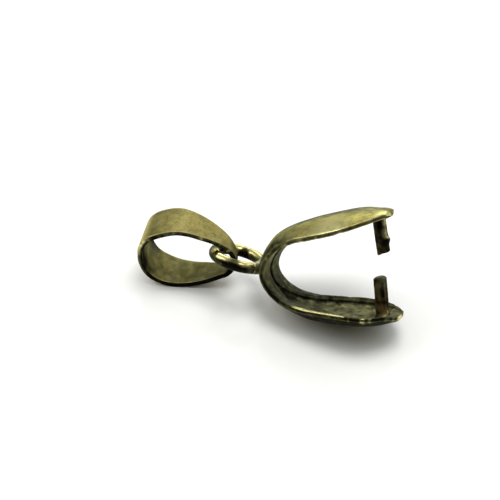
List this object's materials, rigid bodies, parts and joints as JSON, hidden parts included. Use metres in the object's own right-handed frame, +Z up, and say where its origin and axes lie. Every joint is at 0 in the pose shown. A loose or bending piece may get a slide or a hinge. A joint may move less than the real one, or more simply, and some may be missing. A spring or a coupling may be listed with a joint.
{
  "type": "bail finding",
  "caption": "Pinch bail finding: a leaf-shaped strip loop hung on a wire ring, and a domed U-shaped claw with prongs that pinch a drilled pendant.",
  "frame": {"origin": "centre of the bounding box at the level of the table it lies on", "axes": "+X along the finding from the strip loop to the claw's tips, +Z up from the table, +Y across"},
  "size_m": [0.024, 0.01, 0.0109],
  "materials": {
    "claw_bronze": "antique bronze plating, satin with dark recesses",
    "loop_bronze": "antique bronze plating, satin with dark recesses"
  },
  "bodies": {
    "claw": {"claw": "claw_bronze"},
    "loop": {"bail_loop": "loop_bronze"}
  },
  "joints": [
    {"name": "loop_swing", "type": "hinge", "parent": "claw", "child": "loop", "pos_m": [-0.00519, 0.00097, 0.00373], "axis": [0.0516, 0.9703, -0.2365], "range_deg": [-30, 80]}
  ]
}
